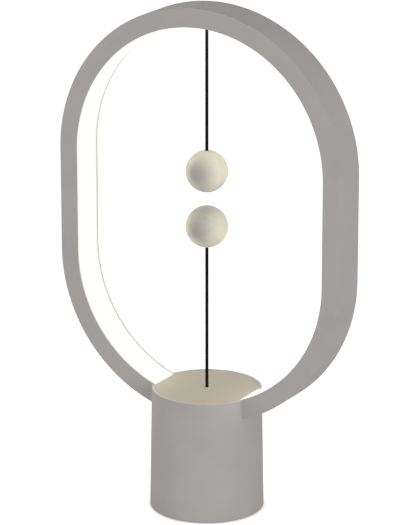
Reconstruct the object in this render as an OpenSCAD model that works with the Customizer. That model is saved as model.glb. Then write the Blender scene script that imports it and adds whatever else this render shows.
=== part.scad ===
// Magnetic balance lamp: a lit oval ring on a round base. One ball hangs from the top of the ring and
// one is tied to a pull switch in the base. When the balls attract each other, the lower string pulls the
// switch up and the ring lights. Millimetres, +Z up, front towards -Y, origin under the base's centre.

/* [Ring] */
// Outer width of the oval ring
ring_w = 244; // [200:1:300]
// Length of the straight stretch on each side of the ring
ring_straight = 81; // [50:1:140]
// Thickness of the ring, seen from the front
ring_face = 15; // [13:0.5:20]
// Depth of the ring from front to back
ring_depth = 31; // [25:0.5:37.5]
// How far the ring goes down into the base
ring_sink = 22; // [19:0.5:27]
// Space between the ring's two ends, inside the base
ring_gap = 36; // [28:1:40]

/* [Ring walls] */
// Thickness of the ring's front wall
front_wall = 1.6; // [1.2:0.1:2.4]
// Thickness of the ring's outer wall
outer_wall = 1.8; // [1.2:0.1:2.4]
// Thickness of the ring's back plate
back_wall = 1.8; // [1.4:0.1:2.4]
// Lip of the front wall that shows beside the diffuser
lip_front = 0.6; // [0.4:0.1:1]
// Lip of the back plate that shows beside the diffuser
lip_back = 1.0; // [0.4:0.1:1.2]
// Thickness of the diffuser
diffuser_t = 2.0; // [1.5:0.1:3]
// Width of the rib that centres the back plate
rib_t = 1.4; // [1:0.1:2]
// Height of the rib that centres the back plate
rib_h = 2.0; // [1:0.5:4]

/* [Light strip] */
// Width of the light strip
strip_w = 10; // [8:0.5:14]
// Thickness of the light strip
strip_t = 0.5; // [0.3:0.1:1]
// Distance from one light to the next
led_pitch = 16.7; // [10:0.1:25]
// Length of one light
led_l = 3.5; // [2:0.1:5]
// Width of one light
led_w = 2.8; // [2:0.1:5]
// Thickness of one light
led_t = 0.8; // [0.5:0.1:1.5]

/* [Base] */
// Height of the base above the table
base_h = 97; // [81:1:120]
// Radius of the base at its bottom
base_bottom_r = 44.7; // [37:0.1:54]
// Radius of the base at its top
base_top_r = 43; // [37:0.1:52]
// Wall of the base
base_wall = 2.4; // [1.8:0.1:3]
// Thickness of the top disc
top_t = 2.4; // [2:0.1:3.5]
// Width of the ledge that carries the top disc
ledge_w = 1.6; // [1.2:0.1:3]
// Thickness of the bottom cover
cover_t = 2.4; // [2:0.1:4]
// How far the foot ring stands out below the base
foot_proud = 0.5; // [0.5:0.1:2]
// Thickness of the foot ring
foot_t = 1.7; // [1.2:0.1:3]
// Width of the foot ring
foot_w = 4.2; // [3:0.1:4.4]
// Thickness of the counterweight
weight_h = 12; // [6:0.5:14]
// Hole in the wall for the power plug, radius
plug_hole_r = 4.5; // [4:0.1:5]

/* [Chassis] */
// Thickness of the saddle's arm
saddle_t = 4; // [3:0.1:5]
// Gap from the saddle's arm up to the ring's lowest point
saddle_drop = 5; // [4:0.5:8]
// Width of the saddle's arm
saddle_arm_w = 18; // [14:1:20]
// Radius of the saddle's holes for the string and for the lead
saddle_hole_r = 2.5; // [2.2:0.1:3]
// Place of the lead's hole, left of the centre
lead_hole_x = 12; // [11:0.5:14]

/* [Balls] */
// Diameter of each ball
ball_d = 32.6; // [26:0.1:40]
// Gap between the two balls
ball_gap = 11.4; // [6:0.1:16]
// Radius of each magnet
magnet_r = 4; // [3:0.1:5]
// Length of each magnet
magnet_l = 8; // [5:0.5:10]
// Ball wall that is left in front of the magnet
ball_face_t = 3; // [2.4:0.1:4]

/* [Strings] */
// Radius of the string
string_r = 1.1; // [0.6:0.05:1.1]
// String from the ring down to the upper ball
upper_string_l = 97.8; // [60:0.1:120]
// Radius of the knots
knot_r = 2.2; // [1.8:0.1:2.4]
// Height over the base at which the lower string bends
lower_pivot_rise = 3.4; // [3.4:0.1:6]
// Distance under the ring at which the upper string bends
upper_pivot_drop = 1.5; // [1.4:0.1:4]
// Length of string between a bend's two axes
bend_l = 4; // [3:0.5:6]
// Radius of the washer over the upper string's hole
washer_r = 4; // [3:0.1:5]
// Thickness of that washer
washer_t = 0.8; // [0.5:0.1:1.5]
// Bore radius of the eyelet in the top disc
eyelet_r = 1.5; // [1.4:0.1:2]
// Wall of the eyelet
eyelet_wall = 0.9; // [0.6:0.1:1.5]
// Radius of the eyelet's flange
eyelet_flange_r = 4; // [3.5:0.1:5]
// Thickness of the eyelet's flange
eyelet_flange_t = 1.2; // [0.8:0.1:2]

/* [Pull switch] */
// Length of the switch housing
switch_l = 18; // [16:0.5:20]
// Width of the switch housing
switch_w = 14; // [13:0.5:18]
// Height of the switch housing
switch_h = 22.4; // [21:0.1:24]
// Radius of the room inside the housing
switch_room_r = 5.2; // [5:0.1:5.6]
// Thickness of the housing's roof
switch_roof = 2; // [1.5:0.1:3]
// Thickness of the contact plate
contact_t = 2.4; // [1.5:0.1:3]
// Radius of the plunger's stem
stem_r = 2; // [1.8:0.1:2.2]
// How far the stem stands out of the housing when the lamp is on
stem_rise = 6; // [4:0.5:7]
// Radius of the plunger's flange
flange_r = 4.2; // [4:0.1:4.3]
// Thickness of the plunger's flange
flange_t = 2; // [1.5:0.1:2.5]
// Length of the guide under the flange
guide_l = 3; // [2:0.5:3]
// Length of the spring when the lamp is on
spring_l = 8; // [7:0.5:9]
// Turns of the spring
spring_turns = 5; // [4:1:6]
// Radius of the spring to the middle of its wire
spring_r = 2.95; // [2.8:0.05:3]
// Radius of the spring's wire
spring_wire_r = 0.35; // [0.25:0.05:0.4]

/* [Circuit board] */
// Height of the posts that carry the board
post_h = 19.1; // [18:0.1:22]
// Radius of those posts
post_r = 3; // [2.8:0.1:3.5]
// Thickness of the board
board_t = 1.6; // [1:0.1:2]
// Width of the power inlet
inlet_w = 9; // [8:0.1:10]
// Height of the power inlet
inlet_h = 11; // [10:0.1:12]
// Length of the power inlet
inlet_l = 11; // [10:0.1:12]
// Radius of the inlet's socket
socket_r = 2.85; // [2.7:0.05:3]
// Depth of the inlet's socket
socket_l = 9; // [8:0.1:9.5]
// Radius of the socket's centre pin
socket_pin_r = 1; // [0.8:0.05:1.2]
// Radius of the capacitor
capacitor_r = 4; // [3:0.1:5]
// Height of the capacitor
capacitor_h = 11; // [8:0.5:14]
// Radius of the strip's lead
lead_r = 1.1; // [0.8:0.05:1.2]

/* [Screws] */
// Radius of a screw's shank
shank_r = 1.4; // [1.2:0.05:1.5]
// Length of a screw's shank
shank_l = 12; // [9:0.5:12]
// Radius of a screw's head
head_r = 2.8; // [2.4:0.1:3]
// Height of a screw's head
head_h = 1.4; // [1.2:0.1:1.8]
// Radius of the counterweight screw's wide head
wide_head_r = 7; // [6:0.5:9]
// Wall round a screw's pilot hole
boss_wall = 1.75; // [1.5:0.05:2]

/* [Fits] */
// Radial clearance of a snug fit
snug = 0.05; // [0.03:0.01:0.08]
// Clearance between parts that seat on each other
seat = 0.15; // [0.1:0.01:0.2]
// Extra radius of a hole that a screw passes through
screw_clear = 0.2; // [0.15:0.05:0.4]

/* [Margins] */
// From the base's wall to the saddle and to the ends of the light strip
wall_gap = 2; // [1.5:0.1:3]
// How much narrower than the ring the saddle's cradle is, at the front and at the back
cradle_inset = 2.5; // [2:0.1:3]
// From the ring's front wall to the bosses of its screws
frame_boss_inset = 2.6; // [2:0.1:3]
// From the base's wall to the screws of the saddle's arm
saddle_screw_inset = 5.2; // [5:0.1:6]
// From the base's wall to the posts of the top disc
top_post_inset = 13.6; // [12:0.1:15]
// From the base's wall to the posts of the board
board_post_inset = 11.2; // [10:0.1:12]
// From the base's wall to the board's edge
board_gap = 4.5; // [3:0.1:6]
// From the cover's edge to the foot ring
foot_inset = 1.1; // [0.8:0.1:2]
// From the foot ring to the heads of the cover's screws
cover_screw_inset = 1; // [0.6:0.1:2]
// From the board's posts to the counterweight
weight_gap = 2; // [1:0.1:3]
// From the board's front post to the middle of the coil
coil_from_post = 12.06; // [10:0.01:13]
// From the mouth of the power inlet to the base's wall
inlet_gap = 0.4; // [0.2:0.1:1]

/* [Hidden] */
$fn = 96;
past = 1; // how far a cutting shape runs past what it cuts

// Colours
grey = [0.63, 0.61, 0.60];
ball_beige = [0.87, 0.84, 0.75];
opal = [0.97, 0.97, 0.95];
cord_black = [0.06, 0.06, 0.06];
steel = [0.70, 0.70, 0.72];
dark_plastic = [0.22, 0.22, 0.23];
board_green = [0.10, 0.36, 0.20];
rubber = [0.12, 0.12, 0.12];

// Ring
ring_ro = ring_w / 2;
ring_ri = ring_ro - ring_face;
ring_half = ring_depth / 2;
ring_low_z = base_h - ring_sink;
arc_low_z = ring_low_z + ring_ro;
arc_top_z = arc_low_z + ring_straight;
inner_top_z = arc_top_z + ring_ri;
rabbet_r = ring_ri + diffuser_t + seat;
channel_r = ring_ro - outer_wall;
strip_ro = channel_r - seat;
strip_ri = strip_ro - strip_t;
led_r = strip_ri - seat - led_t / 2;

// Base
base_widest_r = max(base_bottom_r, base_top_r);
draft = (base_top_r - base_bottom_r) / (base_h - foot_proud);
function base_r(z) = base_bottom_r + draft * (z - foot_proud);
function cavity_r(z) = base_r(z) - base_wall;
strip_end_x = cavity_r(ring_low_z) - wall_gap; // the strip stops just inside the base
cover_top_z = foot_proud + cover_t;
cover_r = cavity_r(cover_top_z) - 2 * seat;
foot_ro = cover_r - foot_inset;
top_z = base_h - top_t;
pilot_r = shank_r + snug;
clear_r = shank_r + screw_clear;
boss_r = pilot_r + boss_wall;
cover_screw_r = foot_ro - foot_w - head_r - cover_screw_inset;
cover_pad_h = 1.4;
cover_boss_h = 13.4;
post_ring_r = cavity_r(cover_top_z) - board_post_inset;
weight_r = post_ring_r - post_r - weight_gap;
stud_r = 4;
weight_top_z = cover_top_z + weight_h;

// Saddle, which ties the ring, the top disc and the base together
saddle_z = ring_low_z - saddle_drop - saddle_t;
saddle_top_z = saddle_z + saddle_t;
saddle_half_y = ring_half - cradle_inset;
saddle_half_x = sqrt(pow(strip_end_x, 2) - pow(saddle_half_y, 2));
saddle_reach = cavity_r(saddle_top_z) - wall_gap;
saddle_counterbore = saddle_t + saddle_drop - past;
frame_screw_x = (ring_gap / 2 + cavity_r(ring_low_z)) / 2;
frame_screw_y = ring_half - front_wall - boss_r - frame_boss_inset;
saddle_screw_y = cavity_r(saddle_z) - saddle_screw_inset;
saddle_boss_h = 18;
boss_floor = 2; // solid foot under the pilot hole of a saddle's boss
top_post_y = cavity_r(base_h) - top_post_inset;

// Board and switch
board_z = cover_top_z + post_h;
board_top_z = board_z + board_t;
board_r = cavity_r(board_z) - board_gap;
inlet_axis_z = board_z - inlet_h / 2;
inlet_face_y = sqrt(pow(cavity_r(inlet_axis_z), 2) - pow(inlet_w / 2, 2)) - inlet_gap;
switch_top_z = board_top_z + switch_h;
spring_top_z = switch_top_z - switch_roof;
flange_top_z = spring_top_z - spring_l;
stem_top_z = switch_top_z + stem_rise;
leaf_t = 0.4;
leaf_w = 2.4;
leaf_lap = 0.6; // how far a leaf's tip reaches over the plunger's flange
pin_r = 0.5;
pin_l = 4.7;
lead_plug_at = [-14, 12];
lead_plug = [7, 5, 6];
chip_at = [-17, -15];
chip = [6, 5, 1.6];
coil_at = [-3, coil_from_post - post_ring_r];
coil_r = 4;
coil_h = 4.5;
fuse_at = [14, 9];
fuse = [8, 4, 3];
capacitor_at = [15, -12];

// Strings and balls
ball_r = ball_d / 2;
upper_ball_z = inner_top_z - upper_string_l - ball_r;
lower_ball_z = upper_ball_z - ball_d - ball_gap;
lower_pivot_z = base_h + lower_pivot_rise;
lower_pivot2_z = lower_pivot_z + bend_l;
upper_pivot_z = inner_top_z - upper_pivot_drop;
upper_pivot2_z = upper_pivot_z - bend_l;
string_hole_r = string_r + 2 * snug;
bend_gap = string_r + snug; // a link's flat end stays this far from the next link's axis
bore_r = magnet_r + 2 * snug;
plug_r = bore_r - snug;
bore_floor = ball_face_t - ball_r;
plug_floor = bore_floor + magnet_l + 2 * snug;
knot_room = 0.4; // space round a knot inside its plug
knot_room_r = knot_r + knot_room;
knot_room_top = plug_floor + 2 * knot_r + 1.5 * knot_room;
knot_at = knot_room_top - sqrt(pow(knot_r, 2) - pow(string_hole_r, 2)) - snug;

// Route of the strip's lead: along the ring's channel, down through the saddle, to its plug on the board
lead_route = [
    [-37, 0, 85], [-32, 0, 83.4], [-27, 0, 82.2], [-22, 0, 81.4], [-17.5, 0, 80.6], [-14, 0, 78.6],
    [-12.3, 0, 75.4], [-12, 0, 71], [-12, 0, 66], [-12, 0, 61], [-12.3, 2, 56], [-13, 5, 50.5],
    [-13.7, 8.5, 45], [-14, 11, 39.5], [-14, 12, 34], [-14, 12, 29.8]
];

// ---------------------------------------------------------------- shared shapes

// The oval as a solid plate of the radius r, from the depth back to the depth front, counted forwards
module oval_plate(r, back, front) {
    translate([0, -back, 0]) rotate([90, 0, 0]) linear_extrude(front - back) {
        for (z = [arc_low_z, arc_top_z]) translate([0, z]) circle(r = r, $fn = 180);
        translate([-r, arc_low_z]) square([2 * r, ring_straight]);
    }
}

// An open oval band between two radii, which stops at a gap round the centre of the base
module oval_band(inner, outer, back, front, gap = ring_gap) {
    difference() {
        oval_plate(outer, back, front);
        oval_plate(inner, back - past, front + past);
        ring_ends(gap);
    }
}

// What is cut away between the ring's two ends
module ring_ends(gap) {
    translate([-gap / 2, -ring_depth, ring_low_z - past]) cube([gap, 2 * ring_depth, ring_ro / 2]);
}

// A cylinder along Y round the centre of the ring's lower arc
module low_arc_cylinder(r, depth) {
    translate([0, 0, arc_low_z]) rotate([90, 0, 0])
        cylinder(r = r, h = depth, center = true, $fn = 180);
}

// A pan head with a cross recess on top of z = 0, and a shank below it
module screw(head = head_r, high = head_h, long = shank_l) {
    recess_l = 3;
    recess_w = 0.6;
    difference() {
        union() {
            cylinder(r = head, h = high);
            translate([0, 0, -long]) cylinder(r = shank_r, h = long + high / 2);
        }
        for (turn = [0, 90]) rotate([0, 0, turn])
            translate([-recess_l / 2, -recess_w / 2, high * 0.4]) cube([recess_l, recess_w, high]);
    }
}

// Copies its child to the places of each group of screws
module at_frame_screws() {
    for (x = [-1, 1], y = [-1, 1]) translate([x * frame_screw_x, y * frame_screw_y, 0]) children();
}
module at_saddle_screws() {
    for (y = [-1, 1]) translate([0, y * saddle_screw_y, 0]) children();
}
module at_top_screws() {
    for (y = [-1, 1]) translate([0, y * top_post_y, 0]) children();
}
module at_cover_screws() {
    for (turn = [45 : 90 : 315]) rotate([0, 0, turn]) translate([cover_screw_r, 0, 0]) children();
}
module at_board_posts() {
    for (turn = [0, 180, 270]) rotate([0, 0, turn]) translate([post_ring_r, 0, 0]) children();
}

// One tube along a list of points, with a ring of sides at each point
function along(p, i) = p[min(i + 1, len(p) - 1)] - p[max(i - 1, 0)];
function unit(v) = v / norm(v);
function ring_at(p, i, r, sides, up) =
    let (t = unit(along(p, i)), u = unit(cross(t, up)), v = cross(t, u))
    [for (k = [0 : sides - 1]) p[i] + r * (cos(360 * k / sides) * u + sin(360 * k / sides) * v)];
module tube(p, r, sides, up) {
    n = len(p);
    points = concat([for (i = [0 : n - 1]) each ring_at(p, i, r, sides, up)], [p[0], p[n - 1]]);
    walls = [for (i = [0 : n - 2], k = [0 : sides - 1])
        let (a = i * sides + k, b = i * sides + (k + 1) % sides)
        each [[a, b, b + sides], [a, b + sides, a + sides]]];
    ends = [for (k = [0 : sides - 1])
        let (a = k, b = (k + 1) % sides, far = (n - 1) * sides)
        each [[b, a, n * sides], [far + a, far + b, n * sides + 1]]];
    polyhedron(points, concat(walls, ends));
}

// A length of string from one height to another
module string_part(from_z, to_z) {
    translate([0, 0, from_z]) cylinder(r = string_r, h = to_z - from_z, $fn = 48);
}
module string_ball(z, r) {
    translate([0, 0, z]) sphere(r = r, $fn = 48);
}

// ---------------------------------------------------------------- ring

module frame_front() {
    back = back_wall - ring_half;
    color(grey) difference() {
        union() {
            difference() {
                oval_plate(ring_ro, back, ring_half);
                oval_plate(ring_ri, back - past, ring_half + past);
                oval_plate(rabbet_r, back - past, ring_half - lip_front);
                oval_plate(channel_r, back - past, ring_half - front_wall);
                ring_ends(ring_gap);
            }
            frame_bosses();
        }
        at_frame_screws() translate([0, 0, ring_low_z - past]) cylinder(r = pilot_r, h = ring_sink);
    }
}

// Bosses inside the channel's ends, for the screws that come up through the saddle
module frame_bosses() {
    difference() {
        intersection() {
            at_frame_screws() translate([0, 0, ring_low_z]) cylinder(r = boss_r, h = ring_sink);
            low_arc_cylinder(ring_ro - outer_wall / 2, ring_depth);
        }
        low_arc_cylinder(rabbet_r + 1, 2 * ring_depth);
    }
}

module frame_back() {
    face = back_wall - ring_half;
    rib_ro = channel_r - seat;
    color(grey) difference() {
        union() {
            oval_band(ring_ri, ring_ro, -ring_half, face);
            oval_band(rib_ro - rib_t, rib_ro, face - back_wall / 2, face + rib_h);
        }
        oval_plate(rabbet_r, lip_back - ring_half, face + past);
    }
}

module diffuser() {
    color(opal) difference() {
        oval_band(ring_ri, ring_ri + diffuser_t, lip_back - ring_half + seat, ring_half - lip_front - seat);
        translate([0, 0, inner_top_z - past]) cylinder(r = string_r + 2 * seat, h = diffuser_t + 2 * past);
    }
}

module led_strip() {
    color("white") oval_band(strip_ri, strip_ro, -strip_w / 2, strip_w / 2, 2 * strip_end_x);
}

module leds() {
    top_count = floor(PI * led_r / led_pitch);
    side_count = floor(ring_straight / led_pitch);
    low_span = acos(strip_end_x / led_r);
    low_count = floor(PI * led_r * low_span / 180 / led_pitch);
    color("gold") {
        for (i = [0 : top_count - 1]) led(arc_top_z, (i + 0.5) * 180 / top_count);
        for (side = [0, 1]) mirror([side, 0, 0]) {
            for (i = [0 : side_count - 1]) led(arc_low_z + (i + 0.5) * ring_straight / side_count, 0);
            for (i = [0 : low_count - 1]) led(arc_low_z, -(i + 0.5) * low_span / low_count);
        }
    }
}

// One light, at an angle up from +X round an arc centre at the height z
module led(z, turn) {
    translate([0, 0, z]) rotate([0, -turn, 0]) translate([led_r, 0, 0])
        cube([led_t, led_w, led_l], center = true);
}

// ---------------------------------------------------------------- upper string

washer_z = inner_top_z + diffuser_t + snug;

module string_washer() {
    color(steel) translate([0, 0, washer_z]) difference() {
        cylinder(r = washer_r, h = washer_t);
        translate([0, 0, -past]) cylinder(r = string_hole_r, h = washer_t + 2 * past);
    }
}

module string_tail() {
    color(cord_black) {
        string_part(upper_pivot_z + bend_gap, washer_z + washer_t + knot_r);
        string_ball(washer_z + washer_t + knot_r, knot_r);
    }
}

module upper_string_bend() {
    color(cord_black) {
        string_part(upper_pivot2_z + bend_gap, upper_pivot_z);
        string_ball(upper_pivot_z, string_r);
    }
}

module upper_string() {
    color(cord_black) {
        string_part(upper_ball_z + knot_at, upper_pivot2_z);
        string_ball(upper_pivot2_z, string_r);
        string_ball(upper_ball_z + knot_at, knot_r);
    }
}

// ---------------------------------------------------------------- balls, drawn with the string side up

module ball() {
    difference() {
        sphere(r = ball_r, $fn = 128);
        translate([0, 0, bore_floor]) cylinder(r = bore_r, h = 2 * ball_r);
    }
}

module magnet() {
    translate([0, 0, bore_floor + snug]) cylinder(r = magnet_r, h = magnet_l);
}

module ball_plug() {
    difference() {
        intersection() {
            sphere(r = ball_r, $fn = 128);
            translate([0, 0, plug_floor]) cylinder(r = plug_r, h = 2 * ball_r);
        }
        translate([0, 0, plug_floor - past]) cylinder(r = string_hole_r, h = 2 * ball_r);
        translate([0, 0, plug_floor - past])
            cylinder(r = knot_room_r, h = knot_room_top - plug_floor + past);
    }
}

module to_upper_ball() { translate([0, 0, upper_ball_z]) children(); }
module to_lower_ball() { translate([0, 0, lower_ball_z]) rotate([180, 0, 0]) children(); }

module upper_ball() { color(ball_beige) to_upper_ball() ball(); }
module upper_magnet() { color(steel) to_upper_ball() magnet(); }
module upper_plug() { color(ball_beige) to_upper_ball() ball_plug(); }
module lower_ball() { color(ball_beige) to_lower_ball() ball(); }
module lower_magnet() { color(steel) to_lower_ball() magnet(); }
module lower_plug() { color(ball_beige) to_lower_ball() ball_plug(); }

// ---------------------------------------------------------------- lower string

module pull_string() {
    color(cord_black) string_part(switch_top_z + snug, lower_pivot_z - bend_gap);
}

module lower_string_bend() {
    color(cord_black) {
        string_part(lower_pivot_z, lower_pivot2_z - bend_gap);
        string_ball(lower_pivot_z, string_r);
    }
}

module lower_string() {
    color(cord_black) {
        string_part(lower_pivot2_z, lower_ball_z - knot_at);
        string_ball(lower_pivot2_z, string_r);
        string_ball(lower_ball_z - knot_at, knot_r);
    }
}

// ---------------------------------------------------------------- base

// A screw column beside the wall, from its foot up: at x = 0, with its web running towards +X
module wall_boss(z, h, reach) {
    translate([0, 0, z]) {
        cylinder(r = boss_r, h = h);
        translate([0, -boss_wall, 0]) cube([reach, 2 * boss_wall, h]);
    }
}

module base_shell() {
    saddle_boss_z = saddle_z - saddle_boss_h;
    cover_boss_z = cover_top_z + cover_pad_h + seat;
    mid_wall = base_wall / 2;
    color(grey) difference() {
        union() {
            difference() {
                translate([0, 0, foot_proud])
                    cylinder(r1 = base_bottom_r, r2 = base_top_r, h = base_h - foot_proud, $fn = 180);
                base_cavity();
                low_arc_slot();
            }
            for (turn = [90, 270]) rotate([0, 0, turn]) translate([saddle_screw_y, 0, 0])
                wall_boss(saddle_boss_z, saddle_boss_h, cavity_r(saddle_z) + mid_wall - saddle_screw_y);
            at_cover_screws() wall_boss(cover_boss_z, cover_boss_h,
                cavity_r(cover_boss_z + cover_boss_h) + mid_wall - cover_screw_r);
        }
        at_saddle_screws() translate([0, 0, saddle_boss_z + boss_floor])
            cylinder(r = pilot_r, h = saddle_boss_h);
        at_cover_screws() translate([0, 0, cover_boss_z - past])
            cylinder(r = pilot_r, h = cover_boss_h - past);
        translate([0, 0, inlet_axis_z]) rotate([-90, 0, 0]) cylinder(r = plug_hole_r, h = base_widest_r);
    }
}

// The room inside the base, with the ledge for the top disc left standing
module base_cavity() {
    ledge_z = top_z - ledge_w;
    difference() {
        translate([0, 0, foot_proud - past]) cylinder(r1 = cavity_r(foot_proud - past),
            r2 = cavity_r(base_h + past), h = base_h - foot_proud + 2 * past, $fn = 180);
        translate([0, 0, ledge_z]) difference() {
            cylinder(r = base_widest_r, h = ledge_w);
            translate([0, 0, -past]) cylinder(r = cavity_r(top_z) - ledge_w, h = ledge_w + 2 * past);
        }
    }
}

// The two slots in the wall, open at the top, that the ring drops into
module low_arc_slot() {
    intersection() {
        low_arc_cylinder(ring_ro + seat, ring_depth + 2 * seat);
        translate([-base_widest_r, -ring_depth, 0])
            cube([2 * base_widest_r, 2 * ring_depth, base_h + past]);
    }
}

module base_top() {
    color(grey) difference() {
        union() {
            difference() {
                translate([0, 0, top_z]) cylinder(r1 = cavity_r(top_z) - seat, r2 = cavity_r(base_h) - seat,
                    h = top_t, $fn = 180);
                difference() {
                    translate([-base_widest_r, -ring_half - seat, top_z - past])
                        cube([2 * base_widest_r, ring_depth + 2 * seat, top_t + 2 * past]);
                    low_arc_cylinder(ring_ri - seat, 2 * ring_depth);
                }
            }
            slot_tongue();
            at_top_screws() translate([0, 0, saddle_top_z]) cylinder(r = boss_r, h = top_z - saddle_top_z);
        }
        at_top_screws() translate([0, 0, saddle_top_z - past]) cylinder(r = pilot_r, h = shank_l);
        translate([0, 0, top_z - past]) cylinder(r = eyelet_r + eyelet_wall + snug, h = top_t + 2 * past);
    }
}

// Fills the wall's slots above the ring, where the ring's inner face leaves the base through the wall
module slot_tongue() {
    intersection() {
        difference() {
            translate([0, 0, ring_low_z])
                cylinder(r1 = base_r(ring_low_z), r2 = base_top_r, h = ring_sink, $fn = 180);
            translate([0, 0, ring_low_z - past])
                cylinder(r = cavity_r(top_z) - ledge_w, h = ring_sink + 2 * past, $fn = 180);
        }
        translate([-base_widest_r, -ring_half, ring_low_z]) cube([2 * base_widest_r, ring_depth, ring_sink]);
        low_arc_cylinder(ring_ri - seat, 2 * ring_depth);
    }
}

module string_eyelet() {
    color(grey) difference() {
        union() {
            translate([0, 0, top_z - eyelet_flange_t]) cylinder(r = eyelet_flange_r, h = eyelet_flange_t);
            translate([0, 0, top_z - past]) cylinder(r = eyelet_r + eyelet_wall, h = top_t + past);
        }
        translate([0, 0, top_z - eyelet_flange_t - past]) cylinder(r = eyelet_r, h = base_h);
    }
}

module frame_saddle() {
    color(dark_plastic) difference() {
        union() {
            difference() {
                translate([-saddle_half_x, -saddle_half_y, saddle_z])
                    cube([2 * saddle_half_x, 2 * saddle_half_y, ring_sink - saddle_t]);
                low_arc_cylinder(ring_ro + seat, ring_depth);
            }
            translate([-saddle_arm_w / 2, -saddle_reach, saddle_z])
                cube([saddle_arm_w, 2 * saddle_reach, saddle_t]);
        }
        for (x = [0, -lead_hole_x]) translate([x, 0, saddle_z - past])
            cylinder(r = saddle_hole_r, h = ring_sink);
        at_frame_screws() translate([0, 0, saddle_z - past]) {
            cylinder(r = clear_r, h = ring_sink);
            cylinder(r = head_r + 2 * screw_clear, h = saddle_counterbore + past);
        }
        at_top_screws() translate([0, 0, saddle_z - past])
            cylinder(r = clear_r, h = saddle_t + 2 * past);
        at_saddle_screws() translate([0, 0, saddle_z - past])
            cylinder(r = clear_r, h = saddle_t + 2 * past);
    }
}

module frame_screws() {
    color(steel) at_frame_screws() translate([0, 0, saddle_z + saddle_counterbore])
        rotate([180, 0, 0]) screw();
}

module saddle_screws() {
    color(steel) at_saddle_screws() translate([0, 0, saddle_top_z]) screw();
}

module top_screws() {
    color(steel) at_top_screws() translate([0, 0, saddle_z]) rotate([180, 0, 0]) screw();
}

module bottom_cover() {
    color(dark_plastic) difference() {
        union() {
            translate([0, 0, foot_proud]) cylinder(r = cover_r, h = cover_t, $fn = 180);
            at_cover_screws() translate([0, 0, foot_proud])
                cylinder(r = boss_r + 1, h = cover_t + cover_pad_h);
            at_board_posts() translate([0, 0, foot_proud]) cylinder(r = post_r, h = cover_t + post_h);
            translate([0, 0, foot_proud]) cylinder(r = stud_r, h = cover_t + weight_h - seat);
        }
        at_cover_screws() translate([0, 0, foot_proud - past]) {
            cylinder(r = clear_r, h = cover_t + cover_pad_h + 2 * past);
            cylinder(r = head_r + screw_clear, h = head_h + seat + past);
        }
        at_board_posts() translate([0, 0, board_z - shank_l - past])
            cylinder(r = pilot_r, h = shank_l + 2 * past);
        translate([0, 0, weight_top_z - shank_l]) cylinder(r = pilot_r, h = shank_l);
        foot_body(seat);
    }
}

// The foot ring, and its groove in the cover, which is wider on both sides by the room given
module foot_body(room) {
    difference() {
        cylinder(r = foot_ro + room, h = foot_t, $fn = 180);
        translate([0, 0, -past]) cylinder(r = foot_ro - foot_w - room, h = foot_t + 2 * past, $fn = 180);
    }
}

module foot_ring() { color(rubber) foot_body(0); }

module cover_screws() {
    color(steel) at_cover_screws() translate([0, 0, foot_proud + head_h + seat])
        rotate([180, 0, 0]) screw();
}

module counterweight() {
    color(steel) translate([0, 0, cover_top_z]) difference() {
        cylinder(r = weight_r, h = weight_h);
        translate([0, 0, -past]) cylinder(r = stud_r + seat, h = weight_h + 2 * past);
    }
}

module weight_screw() {
    color(steel) translate([0, 0, weight_top_z]) screw(wide_head_r, head_h, shank_l - 2);
}

// ---------------------------------------------------------------- electrics

module circuit_board() {
    color(board_green) difference() {
        translate([0, 0, board_z]) cylinder(r = board_r, h = board_t, $fn = 180);
        at_board_posts() translate([0, 0, board_z - past]) cylinder(r = clear_r, h = board_t + 2 * past);
        for (x = [-1, 1]) translate([x * (switch_room_r - 1), 0, board_z - past])
            cylinder(r = pin_r + snug, h = board_t + 2 * past, $fn = 24);
    }
}

module board_screws() {
    color(steel) at_board_posts() translate([0, 0, board_top_z]) screw();
}

// Driver chip, coil, fuse and the plug of the strip's lead
module board_parts() {
    color(dark_plastic) translate([0, 0, board_top_z]) {
        translate(chip_at) cube(chip);
        translate(coil_at) cylinder(r = coil_r, h = coil_h);
        translate(fuse_at) cube(fuse);
        translate([lead_plug_at.x - lead_plug.x / 2, lead_plug_at.y - lead_plug.y / 2, 0]) cube(lead_plug);
    }
}

module capacitor() {
    color("midnightblue") translate([capacitor_at.x, capacitor_at.y, board_top_z])
        cylinder(r = capacitor_r, h = capacitor_h);
}

module power_inlet() {
    color("black") translate([0, inlet_face_y, inlet_axis_z]) {
        difference() {
            translate([-inlet_w / 2, -inlet_l, -inlet_h / 2]) cube([inlet_w, inlet_l, inlet_h]);
            translate([0, -socket_l, 0]) rotate([-90, 0, 0]) cylinder(r = socket_r, h = socket_l + past);
        }
        translate([0, -socket_l - past, 0]) rotate([-90, 0, 0])
            cylinder(r = socket_pin_r, h = socket_l + past - 0.5);
    }
}

module strip_lead() {
    color("ivory") tube(lead_route, lead_r, 8, [0, 1, 0.01]);
}

// ---------------------------------------------------------------- pull switch

module switch_housing() {
    color(dark_plastic) difference() {
        translate([-switch_l / 2, -switch_w / 2, board_top_z]) cube([switch_l, switch_w, switch_h]);
        translate([0, 0, board_top_z - past])
            cylinder(r = switch_room_r, h = switch_h - switch_roof + past);
        translate([0, 0, board_top_z]) cylinder(r = stem_r + snug, h = switch_h + past);
    }
}

// Plate, pins, and two leaves whose tips the raised flange bridges
module switch_contacts() {
    plate_r = switch_room_r - seat;
    tip_z = flange_top_z + snug;
    leaf_x = flange_r + 2 * seat;
    color("goldenrod") {
        translate([0, 0, board_top_z]) cylinder(r = plate_r, h = contact_t);
        for (side = [0, 1]) mirror([side, 0, 0]) {
            translate([switch_room_r - 1, 0, board_top_z - pin_l])
                cylinder(r = pin_r, h = pin_l + contact_t / 2, $fn = 24);
            translate([leaf_x, -leaf_w / 2, board_top_z + contact_t / 2])
                cube([leaf_t, leaf_w, tip_z + leaf_t - board_top_z - contact_t / 2]);
            translate([flange_r - leaf_lap, -leaf_w / 2, tip_z])
                cube([leaf_x - flange_r + leaf_lap + leaf_t, leaf_w, leaf_t]);
        }
    }
}

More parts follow.
